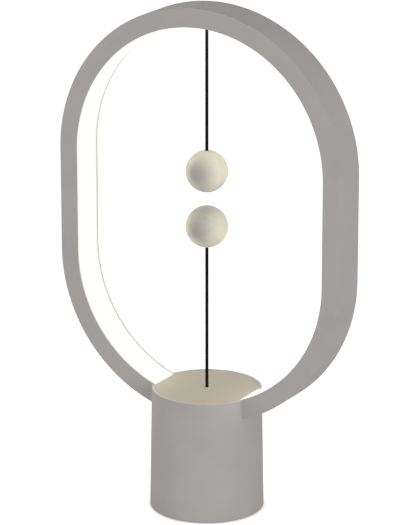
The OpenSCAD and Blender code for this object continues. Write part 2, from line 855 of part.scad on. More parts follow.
module switch_plunger() {
    color("ivory") difference() {
        union() {
            translate([0, 0, flange_top_z - flange_t - guide_l])
                cylinder(r = stem_r, h = stem_top_z - flange_top_z + flange_t + guide_l);
            translate([0, 0, flange_top_z - flange_t]) cylinder(r = flange_r, h = flange_t);
        }
        translate([0, 0, switch_top_z]) cylinder(r = string_r + snug, h = stem_rise + past);
    }
}

module switch_spring() {
    steps = spring_turns * 8;
    low = flange_top_z + spring_wire_r + seat;
    high = spring_top_z - spring_wire_r - seat;
    coil = [for (i = [0 : steps])
        [spring_r * cos(45 * i), spring_r * sin(45 * i), low + (high - low) * i / steps]];
    color(steel) tube(coil, spring_wire_r, 6, [0, 0, 1]);
}

// ---------------------------------------------------------------- one line for each node

frame_front();
frame_back();
diffuser();
led_strip();
leds();
string_washer();
string_tail();
base_shell();
base_top();
string_eyelet();
frame_saddle();
frame_screws();
saddle_screws();
top_screws();
bottom_cover();
cover_screws();
foot_ring();
counterweight();
weight_screw();
circuit_board();
board_parts();
capacitor();
board_screws();
power_inlet();
strip_lead();
switch_housing();
switch_contacts();
switch_spring();
switch_plunger();
pull_string();
lower_string_bend();
lower_string();
lower_ball();
lower_magnet();
lower_plug();
upper_string_bend();
upper_string();
upper_ball();
upper_magnet();
upper_plug();
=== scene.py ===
# %% [markdown]
# # A magnetic balance lamp
# A lit oval ring stands in a round base. One ball hangs from the ring's top on a black cord, and a second
# ball is held up below it by a cord from the base: the magnets in the two balls attract each other.
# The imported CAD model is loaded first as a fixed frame. Everything after that is dressed around it:
# rounded housings, braided cords, turned balls, and a finish made of nodes for every piece.

# %% Load the frame
import math

import bmesh
import bpy
from mathutils import Matrix, Vector


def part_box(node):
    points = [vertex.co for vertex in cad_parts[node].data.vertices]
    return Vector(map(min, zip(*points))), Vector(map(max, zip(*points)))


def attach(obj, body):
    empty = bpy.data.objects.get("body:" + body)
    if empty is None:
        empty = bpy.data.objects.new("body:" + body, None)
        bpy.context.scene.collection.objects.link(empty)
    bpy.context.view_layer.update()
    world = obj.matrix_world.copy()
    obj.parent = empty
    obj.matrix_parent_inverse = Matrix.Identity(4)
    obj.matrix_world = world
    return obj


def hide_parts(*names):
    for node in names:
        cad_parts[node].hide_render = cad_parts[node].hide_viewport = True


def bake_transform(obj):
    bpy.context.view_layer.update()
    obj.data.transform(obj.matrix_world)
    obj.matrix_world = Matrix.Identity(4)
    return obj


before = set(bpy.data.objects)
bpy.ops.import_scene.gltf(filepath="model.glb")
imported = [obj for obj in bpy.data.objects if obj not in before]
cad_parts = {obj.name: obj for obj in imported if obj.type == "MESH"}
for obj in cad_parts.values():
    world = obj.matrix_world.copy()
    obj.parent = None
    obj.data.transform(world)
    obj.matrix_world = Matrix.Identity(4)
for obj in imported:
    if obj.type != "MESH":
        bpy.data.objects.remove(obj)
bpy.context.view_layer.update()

# %% [markdown]
# ## Sizes
# The lamp's own sizes are read from the frame where a node gives them, and the few that no single box
# gives are written once here, in metres. Every piece below takes its place from these values, so the
# dressed lamp always fits the frame.

# %% Sizes of the ring, the base, the balls and the cords
MM = 0.001
ring_low, ring_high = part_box("frame_front")
RING_RO = ring_high.x
RING_FACE = 15 * MM
RING_RI = RING_RO - RING_FACE
RING_FRONT_Y = ring_low.y
RING_BACK_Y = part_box("frame_back")[1].y
ARC_TOP_Z = ring_high.z - RING_RO
RING_STRAIGHT = 81 * MM
ARC_LOW_Z = ARC_TOP_Z - RING_STRAIGHT
RING_GAP = 36 * MM

base_low, base_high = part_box("base_shell")
BASE_TOP_Z = base_high.z
BASE_FOOT_Z = base_low.z
BASE_BOTTOM_R = base_high.x
BASE_TOP_R = 43 * MM
BASE_WALL = 2.4 * MM
SEAT = 0.15 * MM
SNUG = 0.05 * MM

BALL_R = (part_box("upper_ball")[1].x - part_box("upper_ball")[0].x) / 2
UPPER_BALL_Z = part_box("upper_ball")[0].z + BALL_R
LOWER_BALL_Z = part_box("lower_ball")[1].z - BALL_R
CORD_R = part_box("pull_string")[1].x
KNOT_R = 2.2 * MM


def base_radius(z):
    """Outer radius of the base's cone at the height z."""
    share = (z - BASE_FOOT_Z) / (BASE_TOP_Z - BASE_FOOT_Z)
    return BASE_BOTTOM_R + (BASE_TOP_R - BASE_BOTTOM_R) * share


print(f"ring {RING_RO * 2000:.1f} mm wide, arcs round z {ARC_LOW_Z * 1000:.1f} and {ARC_TOP_Z * 1000:.1f}")
print(f"base {BASE_BOTTOM_R * 2000:.1f} mm across, {BASE_TOP_Z * 1000:.1f} mm high")
print(f"balls of radius {BALL_R * 1000:.1f} mm at z {LOWER_BALL_Z * 1000:.1f} and {UPPER_BALL_Z * 1000:.1f}")

# %% [markdown]
# ## Camera
# A camera could be placed by eye. Here its direction, distance and lens come from matching points on the
# lamp's outline, so that the model lines up with the picture it was made from. A long lens from 2.3 m away
# keeps the two sides of the ring nearly the same size.

# %% Camera
CAMERA_TURN = math.radians(29.1)
CAMERA_RISE = math.radians(16.64)
CAMERA_DISTANCE = 2.30898
CAMERA_LENS = 205.44
AIM_HEIGHT = 0.19796
AIM_RIGHT = 0.0024
camera_back = Vector((math.sin(CAMERA_TURN) * math.cos(CAMERA_RISE),
                      -math.cos(CAMERA_TURN) * math.cos(CAMERA_RISE), math.sin(CAMERA_RISE)))
camera_right = Vector((math.cos(CAMERA_TURN), math.sin(CAMERA_TURN), 0))
camera_target = Vector((0, 0, AIM_HEIGHT)) + camera_right * AIM_RIGHT
camera_data = bpy.data.cameras.new("studio_camera")
camera_data.sensor_width = 36
camera_data.lens = CAMERA_LENS
camera_data.clip_start = 0.05
camera_data.clip_end = 60
camera = bpy.data.objects.new("studio_camera", camera_data)
bpy.context.scene.collection.objects.link(camera)
camera.location = camera_target + camera_back * CAMERA_DISTANCE
camera.rotation_mode = "QUATERNION"
camera.rotation_quaternion = (-camera_back).to_track_quat("-Z", "Y")
bpy.context.scene.camera = camera
print("camera at", [round(value, 3) for value in camera.location])

# %% [markdown]
# ## New pieces
# A bmesh is a workbench copy of a mesh. Each piece starts there from a small shape or an outline, and is
# then written to an object of its own. Moulded and turned parts are smooth with a few crisp edges. Shaded
# smooth all over, they would look melted, so an edge stays sharp where its faces meet at more than a limit.

# %% Write a bmesh as a piece
SHARP = math.radians(32)


def mark_shading(bm, smooth=True):
    """Shades a bmesh smoothly apart from its sharp edges, or all of it flat."""
    for edge in bm.edges:
        edge.smooth = smooth and len(edge.link_faces) == 2 and edge.calc_face_angle(0) < SHARP
    for face in bm.faces:
        face.smooth = smooth


def new_piece(name, bm, smooth=True):
    """Writes a bmesh as a new object whose place is in its mesh, and returns it."""
    mark_shading(bm, smooth)
    mesh = bpy.data.meshes.new(name)
    bm.to_mesh(mesh)
    bm.free()
    piece = bpy.data.objects.new(name, mesh)
    bpy.context.scene.collection.objects.link(piece)
    return piece


def report(piece):
    """Prints how many faces a piece has and its size."""
    corners = [piece.matrix_world @ Vector(corner) for corner in piece.bound_box]
    size = [max(c[i] for c in corners) - min(c[i] for c in corners) for i in range(3)]
    print(f"{piece.name}: {len(piece.data.polygons)} faces, {' x '.join(f'{s * 1000:.1f}' for s in size)} mm")


# %% [markdown]
# ## Yarns
# A yarn is a long thin tube along a winding line. Its skin could be swept from a circle step by step, but
# a curve does that by itself: its bevel depth is the tube's radius, and it closes its own ends. Only
# meshes can be pieces, so a finished curve is turned into a mesh.

# %% Tubes from curves
def add_line(curve, points):
    """Adds one open line through points to a curve."""
    line = curve.splines.new("POLY")
    line.points.add(len(points) - 1)
    for target, point in zip(line.points, points):
        target.co = (*point, 1)


def as_mesh(name, curve):
    """Turns a curve into a mesh of its own."""
    holder = bpy.data.objects.new(name, curve)
    bpy.context.scene.collection.objects.link(holder)
    bpy.context.view_layer.update()
    mesh = bpy.data.meshes.new_from_object(holder.evaluated_get(bpy.context.evaluated_depsgraph_get()))
    bpy.data.objects.remove(holder)
    bpy.data.curves.remove(curve)
    return mesh


def tube_curve(name, radius, rounding):
    """An empty curve whose lines become tubes of that radius with closed ends."""
    curve = bpy.data.curves.new(name, "CURVE")
    curve.dimensions = "3D"
    curve.bevel_depth = radius
    curve.bevel_resolution = rounding
    curve.use_fill_caps = True
    return curve


# %% [markdown]
# ## Braid
# The cords are thin black braid, little more than 2 mm across. A smooth tube with a bump would do from
# afar, but a braid is what catches the light in small steps. Here twelve yarns run round a core, six each
# way. Their radius swings in and out once for every two crossings, so each goes over one and under the
# next. The crests stand a little proud of the cord's stated radius, and the dips lie within it. The
# pattern depends only on the height, so that one length of cord continues the next.

# %% One length of braided cord
YARNS_EACH_WAY = 6
YARN_R = 0.27 * MM
YARN_PROUD = 0.14 * MM
BRAID_PITCH = 8 * MM
BRAID_SWING = 0.07 * MM
BRAID_MIDDLE_R = CORD_R - YARN_R + YARN_PROUD
BRAID_STEP = 0.22 * MM
CORE_R = BRAID_MIDDLE_R + 0.1 * MM
KNOT_CORD_R = 1.0 * MM
KNOT_TURN_R = 1.18 * MM
KNOT_RISE = 2.3 * MM
KNOT_TURNS = 2
KNOT_STEPS = 48


def stopper_knot(name, middle_z):
    """The mesh of a stopper knot: two turns of the cord wound round itself."""
    wraps = tube_curve(name, KNOT_CORD_R, 3)
    points = []
    for i in range(KNOT_STEPS + 1):
        turn = math.tau * KNOT_TURNS * i / KNOT_STEPS
        points.append((KNOT_TURN_R * math.cos(turn), KNOT_TURN_R * math.sin(turn),
                       middle_z + (i / KNOT_STEPS - 0.5) * KNOT_RISE))
    add_line(wraps, points)
    return as_mesh(name, wraps)


def braided_cord(name, low_z, high_z, knot_at=None):
    """A straight length of braid on the lamp's axis, from low_z to high_z, perhaps with a knot."""
    steps = max(4, round((high_z - low_z) / BRAID_STEP))
    heights = [low_z + (high_z - low_z) * i / steps for i in range(steps + 1)]
    yarns = tube_curve(name + "_yarns", YARN_R, 1)
    for way in (-1, 1):
        for yarn in range(YARNS_EACH_WAY):
            points = []
            for z in heights:
                turn = way * math.tau * z / BRAID_PITCH + math.tau * yarn / YARNS_EACH_WAY
                swing = math.cos(2 * YARNS_EACH_WAY * math.pi * z / BRAID_PITCH)
                radius = BRAID_MIDDLE_R + way * BRAID_SWING * swing
                points.append((radius * math.cos(turn), radius * math.sin(turn), z))
            add_line(yarns, points)
    core = tube_curve(name + "_core", CORE_R, 3)
    add_line(core, [(0, 0, z) for z in heights])
    meshes = [as_mesh(name, yarns), as_mesh(name, core)]
    if knot_at is not None:
        meshes.append(stopper_knot(name + "_knot", knot_at))
    bm = bmesh.new()
    for mesh in meshes:
        bm.from_mesh(mesh)
        bpy.data.meshes.remove(mesh)
    piece = new_piece(name, bm)
    report(piece)
    return piece


# %% [markdown]
# ## Where each cord runs
# The upper cord comes out of a knot inside the ring, bends just under the ring, and ends in a knot inside
# the upper ball. The lower cord starts in the pull switch, bends just over the base, and ends in the lower
# ball. Each bend has two axes 4 mm apart, one for each direction of swing, so a cord is three lengths:
# one that stays, a short one between the axes and a long one with the ball.

# %% Cords
UPPER_AXES = (383.5 * MM, 379.5 * MM)
LOWER_AXES = (100.4 * MM, 104.4 * MM)
BEND_REACH = 1.6 * MM
PAST_KNOT = 1.4 * MM
END_TRIM = 0.2 * MM
upper_meet = (UPPER_AXES[0] + UPPER_AXES[1]) / 2
lower_meet = (LOWER_AXES[0] + LOWER_AXES[1]) / 2
tail_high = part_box("string_tail")[1].z
upper_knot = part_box("upper_string")[0].z + KNOT_R
lower_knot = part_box("lower_string")[1].z - KNOT_R


def bend_here(piece):
    """Bakes a piece's place into its mesh."""
    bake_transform(piece)


upper_tail_cord = braided_cord("upper_tail_cord", UPPER_AXES[0] + BEND_REACH, tail_high - END_TRIM,
                               knot_at=tail_high - KNOT_R)
upper_turn_cord = braided_cord("upper_turn_cord", upper_meet, UPPER_AXES[0] + BEND_REACH)
upper_cord_low = upper_knot - PAST_KNOT
upper_cord = braided_cord("upper_cord", upper_cord_low, upper_meet, knot_at=upper_knot)
pull_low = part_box("pull_string")[0].z
pull_cord = braided_cord("pull_cord", pull_low, LOWER_AXES[0] - BEND_REACH)
lower_turn_cord = braided_cord("lower_turn_cord", LOWER_AXES[0] - BEND_REACH, lower_meet)
lower_cord_high = lower_knot + PAST_KNOT
lower_cord = braided_cord("lower_cord", lower_meet, lower_cord_high, knot_at=lower_knot)

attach(upper_tail_cord, "root")
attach(pull_cord, "pull")
bend_here(upper_turn_cord)
bend_here(upper_cord)
bend_here(lower_turn_cord)
bend_here(lower_cord)

for piece, node in ((upper_tail_cord, "string_tail"), (upper_turn_cord, "upper_string_bend"),
                    (upper_cord, "upper_string"), (pull_cord, "pull_string"),
                    (lower_turn_cord, "lower_string_bend"), (lower_cord, "lower_string")):
    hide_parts(node)

# %% [markdown]
# ## What the cords are
# Someone who lets these cords hang or swing for real needs more than their shape: where each one leaves
# the lamp, its length, how thick and how limp it is, and the line it follows. Both run straight up and
# down. Here the lengths of the two long cords and their thickness are printed.


print(f"long cords: {(upper_meet - upper_cord_low) * 1000:.1f} mm and "
      f"{(lower_cord_high - lower_meet) * 1000:.1f} mm, {CORD_R * 2000:.1f} mm thick")

# %% [markdown]
# ## The ring's path
# Both mouldings of the ring have the same section all the way round. They could be cut from a solid, but
# it is simpler to draw the section once and carry it along the oval: half a turn of spin over the top, a
# straight pull down each side, and a part turn into the base. A corner of the outline is rounded before
# it is carried, which rounds the whole edge.

# %% Carry an outline along the oval
ARC_STEPS = 96
ROUND_STEPS = 4
SAME_PLACE = 0.001 * MM
LOW_ANGLE = math.acos(RING_GAP / 2 / RING_RO)


def outline(bm, points, rounds, closed=True):
    """An outline of points in bm, with some corners rounded: rounds maps a corner's number to its radius."""
    corners = [bm.verts.new(point) for point in points]
    for a, b in zip(corners, corners[1:] + corners[:1] * closed):
        bm.edges.new((a, b))
    for number, radius in rounds.items():
        bmesh.ops.bevel(bm, geom=[corners[number]], offset=radius, offset_type="OFFSET", segments=ROUND_STEPS,
                        profile=0.5, affect="VERTICES", material=-1)


def sweep_oval(name, points, rounds):
    """Carries an outline of (radius, y) points along the ring, from one end in the base to the other."""
    bm = bmesh.new()
    outline(bm, [(radius, y, ARC_TOP_Z) for radius, y in points], rounds)
    start = bm.edges[:]

    def spin(loop, centre_z, angle, steps):
        made = bmesh.ops.spin(bm, geom=loop, cent=(0, 0, centre_z), axis=(0, -1, 0), angle=angle, steps=steps)
        return [part for part in made["geom_last"] if isinstance(part, bmesh.types.BMEdge)]

    def pull_down(loop):
        made = bmesh.ops.extrude_edge_only(bm, edges=loop)["geom"]
        bmesh.ops.translate(bm, verts=[part for part in made if isinstance(part, bmesh.types.BMVert)],
                            vec=(0, 0, ARC_LOW_Z - ARC_TOP_Z))
        return [part for part in made if isinstance(part, bmesh.types.BMEdge)
                and all(abs(vert.co.z - ARC_LOW_Z) < SAME_PLACE for vert in part.verts)]

    left = spin(start, ARC_TOP_Z, math.pi, ARC_STEPS)
    low_steps = round(ARC_STEPS * LOW_ANGLE / math.pi)
    for loop, side in ((start, -1), (left, 1)):
        foot = spin(pull_down(loop), ARC_LOW_Z, side * LOW_ANGLE, low_steps)
        bmesh.ops.contextual_create(bm, geom=foot)
    bmesh.ops.remove_doubles(bm, verts=bm.verts, dist=SAME_PLACE)
    bmesh.ops.recalc_face_normals(bm, faces=bm.faces)
    return new_piece(name, bm)


# %% [markdown]
# ## Ring housing
# The front moulding is a slim channel: a front wall, an outer wall and a thin lip beside the diffuser. Its
# corners could be left square, but no moulding has them so. The edges that a hand would feel are broken by
# a small round of a third of a millimetre, which still looks crisp from two metres away.

# %% Ring housing
FRONT_WALL = 1.6 * MM
OUTER_WALL = 1.8 * MM
BACK_WALL = 1.8 * MM
LIP_FRONT = 0.6 * MM
LIP_BACK = 1.0 * MM
DIFFUSER_T = 2 * MM
RABBET_R = RING_RI + DIFFUSER_T + SEAT
CHANNEL_R = RING_RO - OUTER_WALL
seam_y = RING_BACK_Y - BACK_WALL
ring_housing = sweep_oval(
    "ring_housing",
    [(RING_RI, RING_FRONT_Y), (RING_RO, RING_FRONT_Y), (RING_RO, seam_y), (CHANNEL_R, seam_y),
     (CHANNEL_R, RING_FRONT_Y + FRONT_WALL), (RABBET_R, RING_FRONT_Y + FRONT_WALL),
     (RABBET_R, RING_FRONT_Y + LIP_FRONT), (RING_RI, RING_FRONT_Y + LIP_FRONT)],
    {0: 0.25 * MM, 1: 0.35 * MM, 2: 0.15 * MM})
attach(ring_housing, "root")
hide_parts("frame_front")
report(ring_housing)

# %% [markdown]
# ## Ring back
# A flat plate closes the channel from behind. It could be cut from sheet, but it has the same oval path, so
# the same helper carries its outline: a plate with a low rib that centres it. A fine round on both edges
# that meet makes the thin seam line of a real two-part moulding.

# %% Ring back
RIB_RO = CHANNEL_R - SEAT
RIB_RI = RIB_RO - 1.4 * MM
rib_y = seam_y - 2 * MM
ring_back = sweep_oval(
    "ring_back",
    [(RING_RI, RING_BACK_Y), (RING_RI, RING_BACK_Y - LIP_BACK), (RABBET_R, RING_BACK_Y - LIP_BACK),
     (RABBET_R, seam_y), (RIB_RI, seam_y), (RIB_RI, rib_y), (RIB_RO, rib_y), (RIB_RO, seam_y),
     (RING_RO, seam_y), (RING_RO, RING_BACK_Y)],
    {0: 0.1 * MM, 8: 0.15 * MM, 9: 0.35 * MM})
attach(ring_back, "root")
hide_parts("frame_back")
report(ring_back)

# %% [markdown]
# ## Turned shapes
# The base, its top disc, the eyelet and the balls are all round about one upright axis. A lathe makes such
# shapes from one outline, and so does spin: the outline goes round once, and its two ends are merged.

# %% Turn an outline round the lamp's axis
TURN_STEPS = 180


def turned(points, rounds, steps=TURN_STEPS, closed=True):
    """Spins an outline of (radius, z) points a full turn, and returns the bmesh.

    An outline that meets the axis is left open there, and its two ends become the poles."""
    bm = bmesh.new()
    outline(bm, [(radius, 0, z) for radius, z in points], rounds, closed)
    bmesh.ops.spin(bm, geom=bm.verts[:] + bm.edges[:], cent=(0, 0, 0), axis=(0, 0, 1), angle=math.tau,
                   steps=steps, use_merge=True)
    bmesh.ops.remove_doubles(bm, verts=bm.verts, dist=SAME_PLACE)
    bmesh.ops.recalc_face_normals(bm, faces=bm.faces)
    return bm


# %% [markdown]
# ## Cutting and joining
# Slots, holes and screw bosses don't follow a part's own turn or path. They could be modelled into it face
# by face, but a maker cuts them afterwards or adds them to the mould, and the boolean modifier does the
# same with closed shapes. Its result is kept as the new mesh, and its sharp edges are marked again.

# %% Simple closed shapes to cut and join with
ROD_SIDES = 48


def rod(radius, low, high, x=0, y=0):
    """A plain upright rod, for cutting holes and adding posts."""
    bm = bmesh.new()
    bmesh.ops.create_cone(bm, cap_ends=True, segments=ROD_SIDES, radius1=radius, radius2=radius,
                          depth=high - low, matrix=Matrix.Translation((x, y, (low + high) / 2)))
    return bm


def low_arc_drum(radius, depth):
    """A wide drum along the ring's depth, round the centre of the ring's lower arc."""
    bm = bmesh.new()
    across = Matrix.Translation((0, 0, ARC_LOW_Z)) @ Matrix.Rotation(math.pi / 2, 4, "X")
    bmesh.ops.create_cone(bm, cap_ends=True, segments=2 * TURN_STEPS, radius1=radius, radius2=radius,
                          depth=depth, matrix=across)
    return bm


def block(low, high):
    """A plain box between two corners."""
    bm = bmesh.new()
    bmesh.ops.create_cube(bm, size=1)
    size = [b - a for a, b in zip(low, high)]
    bmesh.ops.scale(bm, verts=bm.verts, vec=size)
    bmesh.ops.translate(bm, verts=bm.verts, vec=[(a + b) / 2 for a, b in zip(low, high)])
    return bm


# %% Cut, join and shade again
CUT_PAST = 1 * MM


def as_bmesh(piece):
    """Takes a helper shape out of the scene again, and returns it as a bmesh."""
    bm = bmesh.new()
    bm.from_mesh(piece.data)
    mesh = piece.data
    bpy.data.objects.remove(piece)
    bpy.data.meshes.remove(mesh)
    return bm


def bake_modifiers(piece):
    """Replaces a piece's mesh by what its modifiers make of it, and removes them."""
    bpy.context.view_layer.update()
    shaped = bpy.data.meshes.new_from_object(piece.evaluated_get(bpy.context.evaluated_depsgraph_get()))
    piece.modifiers.clear()
    old, piece.data = piece.data, shaped
    shaped.name = piece.name
    bpy.data.meshes.remove(old)


def cut_away(piece, cutter_bm, operation="DIFFERENCE"):
    """Cuts a closed shape out of a piece, or with UNION joins it on, and throws the shape away."""
    cutter = new_piece("cutter", cutter_bm, smooth=False)
    cut = piece.modifiers.new("cut", "BOOLEAN")
    cut.operation = operation
    cut.solver = "EXACT"
    cut.object = cutter
    bake_modifiers(piece)
    as_bmesh(cutter).free()


def shade(piece):
    """Marks the sharp edges of a finished piece again, after cuts have changed its mesh."""
    bm = bmesh.new()
    bm.from_mesh(piece.data)
    mark_shading(bm)
    bm.to_mesh(piece.data)
    bm.free()
    even = piece.modifiers.new("even shading", "WEIGHTED_NORMAL")
    even.keep_sharp = True
    even.weight = 80


# %% [markdown]
# ## Base shell
# The base is a slightly tapering pot, open at both ends. Its wall ends in a narrow rim with its edges
# broken, has a ledge inside for the top disc, and two slots that the ring drops into. It could start as a
# cone with thickness, but one closed outline gives wall, ledge and rim in one turn. The slots follow the
# ring's lower arc, so a drum of the ring's own radius cuts them.

# %% Base shell
TOP_T = 2.4 * MM
LEDGE_W = 1.6 * MM
DISC_Z = BASE_TOP_Z - TOP_T
LEDGE_Z = DISC_Z - LEDGE_W


def cavity_radius(z):
    """Inner radius of the base's wall at the height z."""
    return base_radius(z) - BASE_WALL


ledge_r = cavity_radius(DISC_Z) - LEDGE_W
base_pot = new_piece("base_pot", turned(
    [(BASE_BOTTOM_R, BASE_FOOT_Z), (BASE_TOP_R, BASE_TOP_Z), (cavity_radius(BASE_TOP_Z), BASE_TOP_Z),
     (cavity_radius(DISC_Z), DISC_Z), (ledge_r, DISC_Z), (ledge_r, LEDGE_Z),
     (cavity_radius(LEDGE_Z), LEDGE_Z), (cavity_radius(BASE_FOOT_Z), BASE_FOOT_Z)],
    {0: 0.25 * MM, 1: 0.3 * MM, 2: 0.15 * MM}))
ring_depth = RING_BACK_Y - RING_FRONT_Y
cut_away(base_pot, low_arc_drum(RING_RO + SEAT, ring_depth + 2 * SEAT))
report(base_pot)

# %% [markdown]
# ## Hole for the power plug
# At the back, near the bottom, a round hole lets the plug through to the inlet. A plain rod would cut it,
# but the real hole has a slanted mouth that guides the plug in. So the cutter is turned from an outline
# with that slant, and then laid down along the lamp's depth.

# %% Plug hole
PLUG_HOLE_R = 4.5 * MM
MOUTH_R = PLUG_HOLE_R + 0.9 * MM
MOUTH_IN = -0.6 * MM
MOUTH_OUT = 0.3 * MM
CUT_IN = -6 * MM
CUT_OUT = 4 * MM
inlet_low, inlet_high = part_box("power_inlet")
inlet_z = (inlet_low.z + inlet_high.z) / 2


def along_y(bm, y, z):
    """Turns an upright shape to lie along Y and puts its foot at the place given."""
    bmesh.ops.rotate(bm, verts=bm.verts, cent=(0, 0, 0), matrix=Matrix.Rotation(-math.pi / 2, 3, "X"))
    bmesh.ops.translate(bm, verts=bm.verts, vec=(0, y, z))
    return bm


plug_cutter = turned([(0, CUT_IN), (PLUG_HOLE_R, CUT_IN), (PLUG_HOLE_R, MOUTH_IN), (MOUTH_R, MOUTH_OUT),
                      (MOUTH_R, CUT_OUT), (0, CUT_OUT)], {}, steps=72, closed=False)
cut_away(base_pot, along_y(plug_cutter, base_radius(inlet_z), inlet_z))
print(f"plug hole {PLUG_HOLE_R * 2000:.1f} mm across at z {inlet_z * 1000:.1f}")

# %% [markdown]
# ## Screw bosses in the base
# Two bosses carry the saddle's arm, and four take the screws of the bottom cover. Each stands off the wall
# on a web, so that the wall doesn't sink in as the plastic cools. A boss could be one block, but here it is
# made up as in the mould: a web, a rod and a pilot hole.

# %% Bosses in the base
BOSS_R = 3.2 * MM
PILOT_R = 1.45 * MM
WEB_HALF = 1.75 * MM
BOSS_END = 1 * MM
SADDLE_BOSS_H = 18 * MM
SADDLE_PILOT = 16 * MM
SADDLE_BOSS_OFF_WALL = 5.2 * MM
COVER_BOSS_RISE = 3.95 * MM
COVER_BOSS_H = 13.4 * MM
SCREW_HEAD_R = 2.8 * MM


def wall_boss(turn, off_axis, low, high, pilot_low, pilot_high):
    """Joins a screw boss to the wall by a web, turn radians round from +X, and bores its pilot hole."""
    web = block((off_axis, -WEB_HALF, low), (cavity_radius(high) + BASE_WALL / 2, WEB_HALF, high))
    bmesh.ops.rotate(web, verts=web.verts, cent=(0, 0, 0), matrix=Matrix.Rotation(turn, 3, "Z"))
    x, y = off_axis * math.cos(turn), off_axis * math.sin(turn)
    cut_away(base_pot, web, "UNION")
    cut_away(base_pot, rod(BOSS_R, low, high, x=x, y=y), "UNION")
    cut_away(base_pot, rod(PILOT_R, pilot_low, pilot_high, x=x, y=y))


saddle_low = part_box("frame_saddle")[0]
saddle_boss_off = cavity_radius(saddle_low.z) - SADDLE_BOSS_OFF_WALL
for quarter in (1, 3):
    wall_boss(quarter * math.pi / 2, saddle_boss_off, saddle_low.z - SADDLE_BOSS_H, saddle_low.z,
              saddle_low.z - SADDLE_PILOT, saddle_low.z + CUT_PAST)
cover_boss_low = BASE_FOOT_Z + COVER_BOSS_RISE
cover_boss_high = cover_boss_low + COVER_BOSS_H
cover_screw_off = (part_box("cover_screws")[1].x - SCREW_HEAD_R) * math.sqrt(2)
for eighth in (1, 3, 5, 7):
    wall_boss(eighth * math.pi / 4, cover_screw_off, cover_boss_low, cover_boss_high,
              cover_boss_low - CUT_PAST, cover_boss_high - BOSS_END)
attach(base_pot, "root")
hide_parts("base_shell")
shade(base_pot)
report(base_pot)

# %% [markdown]
# ## Screw bosses in the ring's ends
# Four screws come up through the saddle into the ring, so its ends need something to bite into. Each end
# has two short bosses, trimmed to the room between the outer wall and the diffuser. A boss is a rod that
# is cut to the ring's two arcs before it is joined on, since a plain rod would stick out through the wall.

# %% Bosses in the ring's ends
BOSS_OFF_FRONT = 2.6 * MM
BOSS_OFF_DIFFUSER = 1 * MM
boss_low = ARC_LOW_Z - RING_RO
screw_x = (RING_GAP / 2 + cavity_radius(boss_low)) / 2
screw_y = ring_depth / 2 - FRONT_WALL - BOSS_R - BOSS_OFF_FRONT
for x in (-screw_x, screw_x):
    for y in (-screw_y, screw_y):
        boss = new_piece("boss", rod(BOSS_R, boss_low, BASE_TOP_Z, x=x, y=y), smooth=False)
        cut_away(boss, low_arc_drum(RING_RO - OUTER_WALL / 2, ring_depth), "INTERSECT")
        cut_away(boss, low_arc_drum(RABBET_R + BOSS_OFF_DIFFUSER, 2 * ring_depth))
        cut_away(boss, rod(PILOT_R, boss_low - CUT_PAST, BASE_TOP_Z - BOSS_END, x=x, y=y))
        cut_away(ring_housing, as_bmesh(boss), "UNION")
for piece in (ring_housing, ring_back):
    shade(piece)
print(f"{ring_housing.name} with bosses: {len(ring_housing.data.polygons)} faces")

# %% [markdown]
# ## Top disc
# The disc that closes the base lies on the ledge, level with the rim. It has a notch on two sides, where
# the ring goes down into the base, and two posts under it take screws. The notches could be plain boxes,
# but their inner ends follow the ring's inner arc, so the drum trims the boxes first.

# %% Top disc
EYELET_R = 1.5 * MM
EYELET_OUT_R = 2.4 * MM
DISC_HOLE_R = EYELET_OUT_R + SNUG
NOTCH_FROM = 20 * MM
SADDLE_ARM_T = 4 * MM
POST_PILOT = 11 * MM
POST_BITE = 0.5 * MM
POST_OFF_WALL = 13.6 * MM
top_disc = new_piece("top_disc", turned(
    [(DISC_HOLE_R, DISC_Z), (cavity_radius(DISC_Z) - SEAT, DISC_Z),
     (cavity_radius(BASE_TOP_Z) - SEAT, BASE_TOP_Z), (DISC_HOLE_R, BASE_TOP_Z)], {2: 0.25 * MM}))
post_low = saddle_low.z + SADDLE_ARM_T
post_y = cavity_radius(BASE_TOP_Z) - POST_OFF_WALL
half = ring_depth / 2 + SEAT
for side in (-1, 1):
    left, right = sorted((side * NOTCH_FROM, side * BASE_BOTTOM_R))
    notch = new_piece("notch", block((left, -half, DISC_Z - CUT_PAST), (right, half, BASE_TOP_Z + CUT_PAST)))
    cut_away(notch, low_arc_drum(RING_RI - SEAT, 2 * ring_depth))
    cut_away(top_disc, as_bmesh(notch))
for side in (-1, 1):
    cut_away(top_disc, rod(BOSS_R, post_low, DISC_Z + POST_BITE, y=side * post_y), "UNION")
    cut_away(top_disc, rod(PILOT_R, post_low - CUT_PAST, post_low + POST_PILOT, y=side * post_y))
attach(top_disc, "root")
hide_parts("base_top")
shade(top_disc)
report(top_disc)

# %% [markdown]
# ## Eyelet
# The cord comes up through a small eyelet in the disc's middle. A bare hole would fray the cord, so the
# eyelet's mouth is a large round. It is a turned part with a flange below, which holds it in the disc.

# %% Eyelet
eyelet_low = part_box("string_eyelet")[0]
cord_eyelet = new_piece("cord_eyelet", turned(
    [(EYELET_R, eyelet_low.z), (-eyelet_low.x, eyelet_low.z), (-eyelet_low.x, DISC_Z), (EYELET_OUT_R, DISC_Z),
     (EYELET_OUT_R, BASE_TOP_Z), (EYELET_R, BASE_TOP_Z)],
    {5: 0.6 * MM, 4: 0.1 * MM, 0: 0.4 * MM}, steps=64))
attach(cord_eyelet, "root")
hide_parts("string_eyelet")
shade(cord_eyelet)
report(cord_eyelet)

# %% [markdown]
# ## Balls
# Each ball is turned from pale wood. From the side where its cord goes in it is bored out for a magnet,
# and a short wooden plug over the magnet holds the cord's knot and finishes the ball's curve. A ready
# made sphere would have no bore and no seam, so both parts are turned from outlines: an arc of the ball's
# own radius, and then the bore. The lower ball is the same part the other way up.

